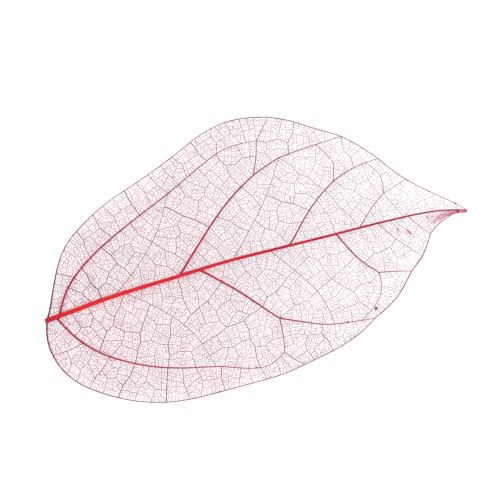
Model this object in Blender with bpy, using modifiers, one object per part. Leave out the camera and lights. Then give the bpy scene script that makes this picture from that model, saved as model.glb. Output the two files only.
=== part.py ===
"""A skeleton leaf: the vein network of one dried leaf, lying with its underside on a surface.

The stalk end is at the origin, the tip points along +X and the surface is the plane Z = 0.
The blade starts as one flat face inside the leaf's margin. Every vein is a cut across a face,
from the midrib down to the finest ones that a solid can carry. The faces are then lifted onto
the bent shape of the blade, a Wireframe modifier turns their edges into threads, and the
midrib and the larger laterals are tubes joined to that net.
"""

import heapq
import math
import random

import bmesh
import bpy
from mathutils import Vector

MM = 0.001

# Driving dimensions
LENGTH = 90.0 * MM
THREAD = 0.66 * MM
STUB_LENGTH = 0.7 * MM
RIB_OVERLAP = 0.15 * MM
PATH_STEP = 2.8 * MM
CELLS = 270
SEED = 8

# How the net grows. Spacing and drift are shares of the root of a cell's area.
DIRECTIONS = 12
JUNCTION_SPACING = 0.24
CENTRE_DRIFT = 0.07
SQUARE_ENDS = 1.2
OFF_CENTRE_COST = 2
MAIN_PULL = 1.0
RELAX_SHARE = 0.45
RELAX_ROUNDS = 3
STRAIGHT = 0.01
SLIDE_LIMIT = 0.3

# A vein that starts this near to a vertex of the net starts at the vertex
SNAP = PATH_STEP / 4

RIB_BEVEL_RESOLUTION = 2
SHARP_ANGLE = 50

# Heights of the blade's middle line and margin over the surface
REST_HEIGHT = 0.24 * MM
STUB_HEIGHT = 0.5 * MM
MIDRIB_RISE = 2.7 * MM
MARGIN_RISE = 1.9 * MM
RIPPLE = 0.55 * MM
RIPPLE_LENGTH = 21.0 * MM
RIPPLE_START = (2.5, 1.0)
LEAST_HALF_WIDTH = 15.0 * MM

# Where along the leaf its sides come down to the surface, and where its tip starts to rise
TOUCH_AT = 0.62
TOUCH_SPREAD = 0.2
TIP_RISE_FROM = 0.66
TIP_RISE = 3.4 * MM
TIP_RISE_POWER = 1.5

# Margin of the blade, in millimetres along and across the leaf, from the stalk to the tip
LOWER_MARGIN = [
    (0, 0), (-0.8, -2.0), (-1.1, -5.0), (0, -9.8), (2.9, -14.1), (7.4, -17.6), (13.5, -20.8),
    (20, -22.7), (27, -23.4), (35, -23.3), (44.3, -23.2), (49.6, -22.3), (58.7, -20.4),
    (64.3, -17.9), (66.1, -16.6), (71.6, -13.8), (75.8, -9.0), (78.7, -6.6), (80.8, -4.0),
    (81.4, -2.5), (83.3, -1.0), (85.6, 0.0), (88.6, 0.75),
]
UPPER_MARGIN = [
    (0, 0), (0.9, 1.2), (1.9, 3.8), (4.3, 9.1), (7.0, 13.4), (10.6, 16.4), (17.1, 20.1),
    (25, 22.9), (33.6, 26.3), (40, 29.2), (46, 30.7), (52, 30.2), (57.9, 28.3), (63.9, 24.6),
    (68.7, 21.7), (73.8, 16.7), (78.4, 10.6), (84.6, 5.0), (88.2, 2.3), (90, 0.2),
]
MIDRIB = [
    (0, 0), (5.4, 0.5), (12, 1.2), (18.3, 1.6), (28, 2.0), (38.8, 2.5), (50, 2.45), (60, 2.35),
    (70, 2.35), (77.9, 2.2), (81.8, 2.0), (85.2, 1.6), (88.6, 0.75),
]

# Lateral veins, from the midrib outwards: their widths at both ends and their points, in millimetres.
# Each one starts and ends on the margin or on a vein that stands above it in this list.
LATERALS = {
    "lower second": (1.0, 0.8, [
        (33.3, 2.3), (39.2, -3.2), (44, -8.4), (46.9, -11.6), (51.8, -13.7), (55.1, -15.2),
        (60.5, -16.1), (66.1, -16.6)]),
    "lower second loop": (0, 0, [
        (46.9, -11.6), (46.8, -15.3), (46.2, -18.7), (47.6, -20.8), (49.6, -22.3)]),
    "lower basal": (1.15, 0.8, [
        (1.9, 0.2), (3.5, -3.0), (5.9, -6.4), (8.9, -9.3), (12.9, -11.9), (18.4, -14.6),
        (25, -16.7), (32.5, -18.2), (38.1, -20.2), (42.8, -20.8), (46.2, -18.7)]),
    "lower third": (0.9, 0.8, [
        (63, 2.35), (64.3, -1.2), (66.6, -5.0), (69.2, -7.6), (73, -8.3), (75.8, -9.0)]),
    "lower third loop": (0, 0, [(69.2, -7.6), (69.5, -10.6), (67.8, -13.4), (63.6, -16.4)]),
    "lower fourth": (0, 0, [(77.9, 2.2), (79.5, -0.3), (81.4, -2.5)]),
    "lower tip cross vein": (0, 0, [(71.5, 2.35), (74.2, -1.7), (78.7, -6.6)]),
    "lower inner cross vein": (0, 0, [(17, 1.5), (23.5, -3.7), (29, -10.2), (31.6, -18)]),
    "lower outer cross vein": (0, 0, [(48.4, 2.4), (52.4, -2.8), (56, -8.2), (58.2, -15.8)]),
    "upper second": (1.0, 0.8, [
        (29, 2.1), (37.5, 10.2), (43, 14.8), (49, 18.4), (55, 20.6), (62, 21.3), (68.7, 21.7)]),
    "upper second loop": (0, 0, [(49, 18.4), (50.6, 22), (51.4, 25.2), (55.2, 29.3)]),
    "upper basal": (1.15, 0.8, [
        (2.8, 0.3), (4.6, 3.9), (7.6, 7.2), (12, 10.4), (17.5, 13.3), (24, 16.2), (31, 19.2),
        (38, 22.6), (45, 25.4), (51.4, 25.2)]),
    "upper third": (0.9, 0.8, [
        (53, 2.4), (56.5, 6.6), (60.4, 10.2), (64.8, 13.1), (69.5, 14.8), (74.9, 15.3)]),
    "upper third loop": (0, 0, [(64.8, 13.1), (65.8, 16.8), (63.2, 21.4)]),
    "upper fourth": (0, 0, [(68, 2.35), (70.5, 5.3), (74.2, 8), (79.2, 9.6)]),
    "upper fourth loop": (0, 0, [(74.2, 8), (74.8, 11.6), (72.4, 15.2)]),
    "upper fifth": (0, 0, [(77, 2.2), (79.8, 4.4), (84.6, 5.0)]),
    "upper inner cross vein": (0, 0, [(15, 1.4), (21.3, 6.4), (27, 12.2), (30.6, 19)]),
    "upper outer cross vein": (0, 0, [(40.6, 2.5), (45.4, 7.6), (50.6, 13.6), (55, 20.6)]),
}
MIDRIB_WIDTHS = (1.45, 0.85)


def curve_point(a, b, c, d, t):
    """The point at t between b and c, on the smooth curve that passes through all four."""
    return 0.5 * (2 * b + (c - a) * t + (2 * a - 5 * b + 4 * c - d) * t * t
                  + (3 * b - a - 3 * c + d) * t ** 3)


def smooth_path(points, step=PATH_STEP):
    """Points about one step apart on a smooth curve through a vein's own points."""
    given = [Vector((x * MM, y * MM, 0)) for x, y in points]
    ends = [2 * given[0] - given[1]] + given + [2 * given[-1] - given[-2]]
    path = [given[0]]
    for i in range(len(given) - 1):
        parts = max(1, round((given[i + 1] - given[i]).length / step))
        path += [curve_point(*ends[i:i + 4], k / parts) for k in range(1, parts + 1)]
    return path


def vein_vertex(bm, point):
    """The vertex of the net at this point, made by splitting the nearest edge where there is none."""
    nearest = min(bm.verts, key=lambda vert: (vert.co - point).length)
    if (nearest.co - point).length < SNAP:
        return nearest

    def place_on(edge):
        start, end = (vert.co for vert in edge.verts)
        share = (point - start).dot(end - start) / (end - start).length_squared
        share = min(max(share, 0), 1)
        return (start.lerp(end, share) - point).length, share

    edge = min(bm.edges, key=lambda candidate: place_on(candidate)[0])
    return bmesh.utils.edge_split(edge, edge.verts[0], place_on(edge)[1])[1]


def cut_along(bm, path):
    """Splits the face that this vein crosses, and returns the path with its ends on the net."""
    start = vein_vertex(bm, path[0])
    end = vein_vertex(bm, path[-1])
    shared = set(start.link_faces) & set(end.link_faces)
    inside = path[len(path) // 2]
    face = min(shared, key=lambda candidate: distance_outside(candidate, inside))
    bmesh.utils.face_split(face, start, end, coords=path[1:-1])
    return [start.co.copy()] + path[1:-1] + [end.co.copy()]


def lengthened(path, at_start):
    """The path with its ends carried on a little, so that a tube's end lies past the joint there."""
    start = path[0] + (path[0] - path[1]).normalized() * at_start
    end = path[-1] + (path[-1] - path[-2]).normalized() * RIB_OVERLAP
    return [start] + path[1:-1] + [end]


def distance_outside(face, point):
    """Zero where the point lies in the face, else how far its middle is from the point."""
    corners = [vert.co for vert in face.verts]
    inside = False
    for a, b in zip(corners, corners[1:] + corners[:1]):
        if (a.y > point.y) != (b.y > point.y):
            crossing = a.x + (point.y - a.y) / (b.y - a.y) * (b.x - a.x)
            inside ^= point.x < crossing
    return 0 if inside else (face.calc_center_median() - point).length


def main_veins(bm):
    """The margin as one face, cut by the midrib and the laterals. Returns the paths of the tubes."""
    lower = smooth_path(LOWER_MARGIN)
    upper = smooth_path(UPPER_MARGIN)
    outline = lower + upper[:0:-1]
    bm.faces.new([bm.verts.new(point) for point in outline])
    midrib = cut_along(bm, smooth_path(MIDRIB)) + [upper[-1]]
    tubes = [(MIDRIB_WIDTHS, lengthened(midrib, STUB_LENGTH))]
    for start_width, end_width, points in LATERALS.values():
        path = cut_along(bm, smooth_path(points))
        if start_width:
            tubes.append(((start_width, end_width), lengthened(path, RIB_OVERLAP)))
    pull = bm.edges.layers.float.new("pull")
    for edge in bm.edges:
        edge[pull] = MAIN_PULL
    return tubes


def crossings(face, centre, direction):
    """Where a line crosses the face's edges: distance along the line, edge loop and share of it."""
    found = []
    side = Vector((-direction.y, direction.x, 0))
    for loop in face.loops:
        a = (loop.vert.co - centre).dot(side)
        b = (loop.link_loop_next.vert.co - centre).dot(side)
        if (a > 0) == (b > 0):
            continue
        share = a / (a - b)
        point = loop.vert.co.lerp(loop.link_loop_next.vert.co, share)
        found.append(((point - centre).dot(direction), loop, share))
    return sorted(found, key=lambda crossing: crossing[0])


def slant(loop, direction):
    """0 where a vein in this direction leaves the edge squarely, up to 1 where it runs along it."""
    along = loop.link_loop_next.vert.co - loop.vert.co
    return along.dot(direction) ** 2 / along.length_squared


def junction_place(loop, share, spacing):
    """The share of the edge where a new vein may join it, or the vertex that stands too near."""
    length = loop.edge.calc_length()
    near, rest = (loop.vert, share) if share < 0.5 else (loop.link_loop_next.vert, 1 - share)
    if rest * length > spacing:
        return share, None
    if len(near.link_edges) == 2 or length < 2 * spacing:
        return share, near
    rest = spacing / length
    return (rest if share < 0.5 else 1 - rest), None


def best_cut(face, rng):
    """The two ends of a short vein that crosses the middle of the face and meets its sides squarely."""
    area = face.calc_area()
    spacing = JUNCTION_SPACING * math.sqrt(area)
    drift = CENTRE_DRIFT * math.sqrt(area)
    centre = face.calc_center_median_weighted() + Vector((rng.gauss(0, drift), rng.gauss(0, drift), 0))
    turn = rng.uniform(0, math.pi)
    best = None
    for step in range(DIRECTIONS):
        angle = turn + math.pi * step / DIRECTIONS
        direction = Vector((math.cos(angle), math.sin(angle), 0))
        found = crossings(face, centre, direction)
        for first, last in zip(found[::2], found[1::2]):
            length = last[0] - first[0]
            off_centre = abs(first[0] + last[0]) / 2
            squareness = 1 + SQUARE_ENDS * (slant(first[1], direction) + slant(last[1], direction))
            cost = length * squareness + OFF_CENTRE_COST * off_centre
            ends = [(end[1], *junction_place(end[1], end[2], spacing)) for end in (first, last)]
            if ends_meet(face, *ends):
                continue
            if best is None or cost < best[0]:
                best = (cost, ends)
    return best[1]


def ends_meet(face, first, last):
    """Whether a vein between these two ends would lie along an edge that the face already has."""
    (first_loop, _, first_vert), (last_loop, _, last_vert) = first, last
    if first_vert and last_vert:
        same = first_vert is last_vert
        return same or any({first_vert, last_vert} == set(edge.verts) for edge in face.edges)
    return first_vert in last_loop.edge.verts or last_vert in first_loop.edge.verts


def halve(face, rng):
    """Cuts a face in two with one vein across its middle, and returns the new face."""
    ends = []
    for loop, share, vert in best_cut(face, rng):
        ends.append(vert or bmesh.utils.edge_split(loop.edge, loop.vert, share)[1])
    new_face, new_loop = bmesh.utils.face_split(face, *ends)
    return new_face, new_loop.edge


def grow_net(bm, cells, rng):
    """Splits the largest cell again and again until there are this many. Early veins pull hardest."""
    pull = bm.edges.layers.float["pull"]
    queue = [(-face.calc_area(), index, face) for index, face in enumerate(bm.faces)]
    heapq.heapify(queue)
    while len(bm.faces) < cells:
        area, index, face = heapq.heappop(queue)
        new_face, vein = halve(face, rng)
        vein[pull] = -area
        heapq.heappush(queue, (-face.calc_area(), index, face))
        heapq.heappush(queue, (-new_face.calc_area(), len(bm.faces), new_face))


def sliding_junctions(bm):
    """Where a net vein meets a straight stretch of a main vein: the junction and the vertices around it."""
    pull = bm.edges.layers.float["pull"]
    found = []
    for vert in bm.verts:
        main = [edge.other_vert(vert) for edge in vert.link_edges if edge[pull] == MAIN_PULL]
        net = [edge.other_vert(vert) for edge in vert.link_edges if edge[pull] < MAIN_PULL]
        if len(main) != 2 or len(net) != 1:
            continue
        if (vert.co - main[0].co).angle(main[1].co - vert.co) < STRAIGHT:
            found.append((vert, *main, net[0]))
    return found


def relax(bm, rounds):
    """Pulls free junctions towards their neighbours, and slides those on a main vein to meet it squarely."""
    pull = bm.edges.layers.float["pull"]
    free = [vert for vert in bm.verts if max(edge[pull] for edge in vert.link_edges) < MAIN_PULL]
    sliding = sliding_junctions(bm)
    for _ in range(rounds):
        places = []
        for vert in free:
            pulls = [edge[pull] for edge in vert.link_edges]
            ends = [edge.other_vert(vert).co for edge in vert.link_edges]
            middle = sum((end * each for end, each in zip(ends, pulls)), Vector()) / sum(pulls)
            places.append((vert, vert.co.lerp(middle, RELAX_SHARE)))
        for vert, start, end, net in sliding:
            line = end.co - start.co
            share = (net.co - start.co).dot(line) / line.length_squared
            square = start.co.lerp(end.co, min(max(share, SLIDE_LIMIT), 1 - SLIDE_LIMIT))
            places.append((vert, vert.co.lerp(square, RELAX_SHARE)))
        for vert, place in places:
            vert.co = place


def interpolate(points, x):
    """The height of a line of points at x, straight between them."""
    for (ax, ay), (bx, by) in zip(points, points[1:]):
        if x <= bx:
            return ay + (by - ay) * max(0, x - ax) / max(bx - ax, 1e-9)
    return points[-1][1]


def smooth_step(value):
    value = min(max(value, 0), 1)
    return value * value * (3 - 2 * value)


def blade_height(point):
    """How high the blade's middle surface lies: an arched midrib, drooping waved sides, a raised tip."""
    x, y = point.x / MM, point.y / MM
    along = point.x / LENGTH
    midrib = interpolate(MIDRIB, x)
    margin = interpolate(UPPER_MARGIN if y > midrib else LOWER_MARGIN, x)
    out = abs(y - midrib) * MM / max(abs(margin - midrib) * MM, LEAST_HALF_WIDTH)
    middle = STUB_HEIGHT + MIDRIB_RISE * math.sin(math.pi * min(max(along, 0), 1)) ** 2
    touch = math.exp(-((along - TOUCH_AT) / TOUCH_SPREAD) ** 2)
    wave = RIPPLE * math.sin(2 * math.pi * point.x / RIPPLE_LENGTH + RIPPLE_START[y > midrib])
    edge = REST_HEIGHT + (MARGIN_RISE + wave) * (1 - touch)
    tip = TIP_RISE * smooth_step((along - TIP_RISE_FROM) / (1 - TIP_RISE_FROM)) ** TIP_RISE_POWER
    return middle + (edge - middle) * out ** 2 + tip


def dyed_material():
    """Dry leaf fibre dyed a strong red."""
    material = bpy.data.materials.new("dyed_leaf_fibre")
    material.use_nodes = True
    shader = material.node_tree.nodes["Principled BSDF"]
    shader.inputs["Base Color"].default_value = (0.56, 0.012, 0.03, 1)
    shader.inputs["Roughness"].default_value = 0.6
    shader.inputs["Metallic"].default_value = 0
    return material


def net_object(bm, collection):
    """The lifted faces as an object, with a Wireframe modifier that leaves threads along their edges."""
    mesh = bpy.data.meshes.new("skeleton_leaf")
    bm.to_mesh(mesh)
    leaf = bpy.data.objects.new("skeleton_leaf", mesh)
    collection.objects.link(leaf)
    wire = leaf.modifiers.new("Threads", "WIREFRAME")
    wire.thickness = THREAD
    wire.use_boundary = True
    wire.use_even_offset = True
    wire.use_replace = True
    return leaf


def lifted(point):
    return Vector((point.x, point.y, blade_height(point)))


def rib(name, path, widths, collection):
    """A tapered tube along a vein, made a mesh with closed ends. The points' radii are widths in mm."""
    curve = bpy.data.curves.new(name, "CURVE")
    curve.dimensions = "3D"
    curve.bevel_depth = MM / 2
    curve.bevel_resolution = RIB_BEVEL_RESOLUTION
    curve.use_fill_caps = True
    spline = curve.splines.new("POLY")
    spline.points.add(len(path) - 1)
    for i, point in enumerate(path):
        spline.points[i].co = (*lifted(point), 1)
        spline.points[i].radius = widths[0] + (widths[1] - widths[0]) * i / (len(path) - 1)
    guide = bpy.data.objects.new(name, curve)
    collection.objects.link(guide)
    graph = bpy.context.evaluated_depsgraph_get()
    mesh = bpy.data.meshes.new_from_object(guide.evaluated_get(graph))
    bm = bmesh.new()
    bm.from_mesh(mesh)
    bmesh.ops.remove_doubles(bm, verts=bm.verts, dist=0.001 * MM)
    bmesh.ops.recalc_face_normals(bm, faces=bm.faces)
    bm.to_mesh(mesh)
    bm.free()
    tube = bpy.data.objects.new(name, mesh)
    tube.matrix_world = guide.matrix_world
    collection.objects.link(tube)
    bpy.data.objects.remove(guide)
    return tube


def apply_modifiers(obj):
    """Replaces the object's mesh with what its modifiers make of it."""
    graph = bpy.context.evaluated_depsgraph_get()
    mesh = bpy.data.meshes.new_from_object(obj.evaluated_get(graph))
    obj.modifiers.clear()
    obj.data = mesh


def join_ribs(leaf, ribs):
    """Makes one body of the net and the tubes, and removes the tubes.

    Threads run along inside the tubes, where the exact solver leaves edges shared by four faces.
    """
    union = leaf.modifiers.new("Ribs", "BOOLEAN")
    union.operation = "UNION"
    union.operand_type = "COLLECTION"
    union.collection = ribs
    union.solver = "MANIFOLD"
    apply_modifiers(leaf)
    for tube in list(ribs.objects):
        bpy.data.objects.remove(tube)
    bpy.data.collections.remove(ribs)
    leaf.data.shade_smooth()
    leaf.data.set_sharp_from_angle(angle=math.radians(SHARP_ANGLE))


def rest_flats(leaf, cutters):
    """Cuts the underside at the surface, which leaves small flats where the leaf rests."""
    bm = bmesh.new()
    bmesh.ops.create_cube(bm, size=1)
    mesh = bpy.data.meshes.new("surface_cutter")
    bm.to_mesh(mesh)
    bm.free()
    cutter = bpy.data.objects.new("surface_cutter", mesh)
    cutter.scale = (2 * LENGTH, 2 * LENGTH, LENGTH)
    cutter.location = (LENGTH / 2, 0, -LENGTH / 2)
    cutter.hide_render = True
    cutter.display_type = "WIRE"
    cutters.objects.link(cutter)
    cut = leaf.modifiers.new("Rest", "BOOLEAN")
    cut.operation = "DIFFERENCE"
    cut.solver = "EXACT"
    cut.object = cutter


def main():
    for obj in list(bpy.data.objects):
        bpy.data.objects.remove(obj)
    scene = bpy.context.scene
    leaf_collection = bpy.data.collections.new("skeleton leaf")
    cutters = bpy.data.collections.new("cutters")
    ribs = bpy.data.collections.new("ribs")
    for collection in (leaf_collection, cutters, ribs):
        scene.collection.children.link(collection)

    bm = bmesh.new()
    tubes = main_veins(bm)
    grow_net(bm, CELLS, random.Random(SEED))
    relax(bm, RELAX_ROUNDS)
    for vert in bm.verts:
        vert.co = lifted(vert.co)
    bmesh.ops.recalc_face_normals(bm, faces=bm.faces)
    leaf = net_object(bm, leaf_collection)
    bm.free()
    for number, (widths, path) in enumerate(tubes):
        rib(f"rib_{number}", path, widths, ribs)
    join_ribs(leaf, ribs)
    rest_flats(leaf, cutters)
    leaf.data.materials.clear()
    leaf.data.materials.append(dyed_material())


main()
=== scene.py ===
# %% [markdown]
# # A skeleton leaf, one vein at a time
#
# A skeleton leaf is a leaf whose green tissue has been soaked and brushed away. What is left is
# one dried network of veins, here dyed red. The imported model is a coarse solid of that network,
# with threads thick enough to stand as a solid. This script grows the same network on, down to
# the hair-fine veins of the real leaf, and gives every vein its true width, colour and fibre.

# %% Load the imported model
import functools
import heapq
import math
import random

import bmesh
import bpy
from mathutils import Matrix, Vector, noise


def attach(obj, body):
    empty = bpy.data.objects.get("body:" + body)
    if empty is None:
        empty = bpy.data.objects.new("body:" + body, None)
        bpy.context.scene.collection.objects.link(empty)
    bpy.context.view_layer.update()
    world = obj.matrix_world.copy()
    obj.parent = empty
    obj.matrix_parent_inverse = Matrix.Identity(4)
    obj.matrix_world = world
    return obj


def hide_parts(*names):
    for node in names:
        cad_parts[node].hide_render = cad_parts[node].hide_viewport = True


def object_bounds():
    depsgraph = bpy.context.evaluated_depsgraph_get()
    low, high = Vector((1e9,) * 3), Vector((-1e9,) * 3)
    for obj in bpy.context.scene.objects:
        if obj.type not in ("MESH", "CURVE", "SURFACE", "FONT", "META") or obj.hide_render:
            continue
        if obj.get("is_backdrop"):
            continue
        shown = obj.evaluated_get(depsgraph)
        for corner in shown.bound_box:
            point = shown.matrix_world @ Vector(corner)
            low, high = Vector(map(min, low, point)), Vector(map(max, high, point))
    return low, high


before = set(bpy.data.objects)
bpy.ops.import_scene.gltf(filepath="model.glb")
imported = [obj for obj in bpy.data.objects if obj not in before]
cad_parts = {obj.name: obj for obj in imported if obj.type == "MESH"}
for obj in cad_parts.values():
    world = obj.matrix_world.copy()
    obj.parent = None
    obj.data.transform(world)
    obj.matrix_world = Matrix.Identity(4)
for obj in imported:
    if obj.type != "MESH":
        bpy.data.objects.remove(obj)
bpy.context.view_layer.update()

# %% [markdown]
# ## The outline and the main veins
#
# On the real leaf the midrib runs from the cut stalk to the drip tip, four or five laterals leave
# it on each side, and their ends loop into each other before they reach the margin. They could be
# drawn by hand as curves in the viewport. Written as lists of points, in millimetres along and
# across the leaf, they can be checked against the leaf one number at a time. The points are those
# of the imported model, so that every piece lies where the solid is.

# %% Sizes of the leaf
MM = 0.001
LENGTH = 90.0 * MM
STUB_LENGTH = 0.4 * MM
PATH_STEP = 2.8 * MM

LOWER_MARGIN = [
    (0, 0), (-0.8, -2.0), (-1.1, -5.0), (0, -9.8), (2.9, -14.1), (7.4, -17.6), (13.5, -20.8),
    (20, -22.7), (27, -23.4), (35, -23.3), (44.3, -23.2), (49.6, -22.3), (58.7, -20.4),
    (64.3, -17.9), (66.1, -16.6), (71.6, -13.8), (75.8, -9.0), (78.7, -6.6), (80.8, -4.0),
    (81.4, -2.5), (83.3, -1.0), (85.6, 0.0), (88.6, 0.75),
]
UPPER_MARGIN = [
    (0, 0), (0.9, 1.2), (1.9, 3.8), (4.3, 9.1), (7.0, 13.4), (10.6, 16.4), (17.1, 20.1),
    (25, 22.9), (33.6, 26.3), (40, 29.2), (46, 30.7), (52, 30.2), (57.9, 28.3), (63.9, 24.6),
    (68.7, 21.7), (73.8, 16.7), (78.4, 10.6), (84.6, 5.0), (88.2, 2.3), (90, 0.2),
]
MIDRIB = [
    (0, 0), (5.4, 0.5), (12, 1.2), (18.3, 1.6), (28, 2.0), (38.8, 2.5), (50, 2.45), (60, 2.35),
    (70, 2.35), (77.9, 2.2), (81.8, 2.0), (85.2, 1.6), (88.6, 0.75),
]
print(len(LOWER_MARGIN + UPPER_MARGIN), "points round the margin")

# %% Lateral veins, their loops and the long cross veins
# A vein's widths are in millimetres, evenly spaced from where it starts to where it ends. Each
# vein in the table starts and ends on the margin or on a vein that stands above it there.
MIDRIB_WIDTHS = (0.92, 0.88, 0.8, 0.72, 0.63, 0.54, 0.44, 0.36, 0.24)
BASAL_WIDTHS = (0.42, 0.35, 0.29, 0.2, 0.13)
SECOND_WIDTHS = (0.46, 0.38, 0.31, 0.205, 0.12)
THIRD_WIDTHS = (0.33, 0.28, 0.215, 0.14)
LOOP_WIDTHS = (0.15, 0.12)
CROSS_WIDTHS = (0.155, 0.12)
LOWER_MARGIN_WIDTHS = (0.36, 0.26, 0.185, 0.195, 0.18, 0.175, 0.19, 0.245, 0.15)
UPPER_MARGIN_WIDTHS = (0.36, 0.24, 0.185, 0.185, 0.18, 0.18, 0.185, 0.2, 0.14)

LATERALS = {
    "lower second": (SECOND_WIDTHS, [
        (33.3, 2.3), (39.2, -3.2), (44, -8.4), (46.9, -11.6), (51.8, -13.7), (55.1, -15.2),
        (60.5, -16.1), (66.1, -16.6)]),
    "lower second loop": ((0.22, 0.17, 0.13), [
        (46.9, -11.6), (46.8, -15.3), (46.2, -18.7), (47.6, -20.8), (49.6, -22.3)]),
    "lower basal": (BASAL_WIDTHS, [
        (1.9, 0.2), (3.5, -3.0), (5.9, -6.4), (8.9, -9.3), (12.9, -11.9), (18.4, -14.6),
        (25, -16.7), (32.5, -18.2), (38.1, -20.2), (42.8, -20.8), (46.2, -18.7)]),
    "lower third": (THIRD_WIDTHS, [
        (63, 2.35), (64.3, -1.2), (66.6, -5.0), (69.2, -7.6), (73, -8.3), (75.8, -9.0)]),
    "lower third loop": (LOOP_WIDTHS, [(69.2, -7.6), (69.5, -10.6), (67.8, -13.4), (63.6, -16.4)]),
    "lower fourth": (CROSS_WIDTHS, [(77.9, 2.2), (79.5, -0.3), (81.4, -2.5)]),
    "lower tip cross vein": (CROSS_WIDTHS, [(71.5, 2.35), (74.2, -1.7), (78.7, -6.6)]),
    "lower inner cross vein": (CROSS_WIDTHS, [(17, 1.5), (23.5, -3.7), (29, -10.2), (31.6, -18)]),
    "lower outer cross vein": (CROSS_WIDTHS, [
        (48.4, 2.4), (52.4, -2.8), (56, -8.2), (58.2, -15.8)]),
    "upper second": (SECOND_WIDTHS, [
        (29, 2.1), (37.5, 10.2), (43, 14.8), (49, 18.4), (55, 20.6), (62, 21.3), (68.7, 21.7)]),
    "upper second loop": ((0.2, 0.13), [(49, 18.4), (50.6, 22), (51.4, 25.2), (55.2, 29.3)]),
    "upper basal": (BASAL_WIDTHS, [
        (2.8, 0.3), (4.6, 3.9), (7.6, 7.2), (12, 10.4), (17.5, 13.3), (24, 16.2), (31, 19.2),
        (38, 22.6), (45, 25.4), (51.4, 25.2)]),
    "upper third": (THIRD_WIDTHS, [
        (53, 2.4), (56.5, 6.6), (60.4, 10.2), (64.8, 13.1), (69.5, 14.8), (74.9, 15.3)]),
    "upper third loop": (LOOP_WIDTHS, [(64.8, 13.1), (65.8, 16.8), (63.2, 21.4)]),
    "upper fourth": ((0.2, 0.12), [(68, 2.35), (70.5, 5.3), (74.2, 8), (79.2, 9.6)]),
    "upper fourth loop": (LOOP_WIDTHS, [(74.2, 8), (74.8, 11.6), (72.4, 15.2)]),
    "upper fifth": ((0.09, 0.06), [(77, 2.2), (79.8, 4.4), (84.6, 5.0)]),
    "upper inner cross vein": (CROSS_WIDTHS, [(15, 1.4), (21.3, 6.4), (27, 12.2), (30.6, 19)]),
    "upper outer cross vein": (CROSS_WIDTHS, [(40.6, 2.5), (45.4, 7.6), (50.6, 13.6), (55, 20.6)]),
}
print(len(LATERALS), "laterals, loops and long cross veins")

# %% [markdown]
# ## The blade as one flat face
#
# The network could be drawn as loose lines, but then nothing says where one cell of the net ends
# and the next begins. Here the blade starts as a single flat face, and every vein is a cut across
# a face. Each cell of the net is then a face of its own, with an area that can be measured.
# A layer on the edges holds the number of the vein that an edge belongs to, and splitting an edge
# hands the number on to both halves.

# %% Smooth paths
def curve_point(a, b, c, d, t):
    """The point at t between b and c, on the smooth curve that passes through all four."""
    return 0.5 * (2 * b + (c - a) * t + (2 * a - 5 * b + 4 * c - d) * t * t
                  + (3 * b - a - 3 * c + d) * t ** 3)


def smooth_path(points):
    """Points about one step apart on a smooth curve through a vein's own points."""
    given = [Vector((x * MM, y * MM, 0)) for x, y in points]
    ends = [2 * given[0] - given[1]] + given + [2 * given[-1] - given[-2]]
    path = [given[0]]
    for i in range(len(given) - 1):
        parts = max(1, round((given[i + 1] - given[i]).length / PATH_STEP))
        path += [curve_point(*ends[i:i + 4], k / parts) for k in range(1, parts + 1)]
    return path


print("the midrib has", len(smooth_path(MIDRIB)), "points")

# %% Where a vein joins the net
SNAP = PATH_STEP / 4


def clamped(value, low=0, high=1):
    return min(max(value, low), high)


def vein_vertex(point):
    """The vertex of the net at this point. Where there is none, the nearest edge is split."""
    nearest = min(blade.verts, key=lambda vert: (vert.co - point).length)
    if (nearest.co - point).length < SNAP:
        return nearest

    def place_on(edge):
        start, end = (vert.co for vert in edge.verts)
        share = clamped((point - start).dot(end - start) / (end - start).length_squared)
        return (start.lerp(end, share) - point).length, share

    edge = min(blade.edges, key=lambda candidate: place_on(candidate)[0])
    return bmesh.utils.edge_split(edge, edge.verts[0], place_on(edge)[1])[1]


def distance_outside(face, point):
    """Zero where the point lies in the face, else how far its middle is from the point."""
    corners = [vert.co for vert in face.verts]
    inside = False
    for a, b in zip(corners, corners[1:] + corners[:1]):
        if (a.y > point.y) != (b.y > point.y):
            crossing = a.x + (point.y - a.y) / (b.y - a.y) * (b.x - a.x)
            inside ^= point.x < crossing
    return 0 if inside else (face.calc_center_median() - point).length


# %% The margin and the main veins as cuts
MAIN_PULL = 1.0
LOWER_NUMBER, UPPER_NUMBER, MIDRIB_NUMBER = 1, 2, 3


def flat_net():
    """An empty net whose edges can hold how hard they pull and the number of their vein."""
    net = bmesh.new()
    net.edges.layers.float.new("pull")
    net.edges.layers.int.new("vein")
    return net


def layers_of(net):
    """The net's layer of pulls and its layer of vein numbers."""
    return net.edges.layers.float["pull"], net.edges.layers.int["vein"]


blade = flat_net()
PULL, VEIN = layers_of(blade)
main_veins = {}


def number_new_edges(number, start, widths):
    """Gives this number to the edges that have none, and notes the vein's start and widths."""
    for edge in blade.edges:
        if not edge[VEIN]:
            edge[VEIN] = number
    main_veins[number] = (start.copy(), widths)


def cut_along(points):
    """Splits the face that this vein crosses."""
    path = smooth_path(points)
    start = vein_vertex(path[0])
    end = vein_vertex(path[-1])
    shared = set(start.link_faces) & set(end.link_faces)
    inside = path[len(path) // 2]
    face = min(shared, key=lambda candidate: distance_outside(candidate, inside))
    bmesh.utils.face_split(face, start, end, coords=path[1:-1])


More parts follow.
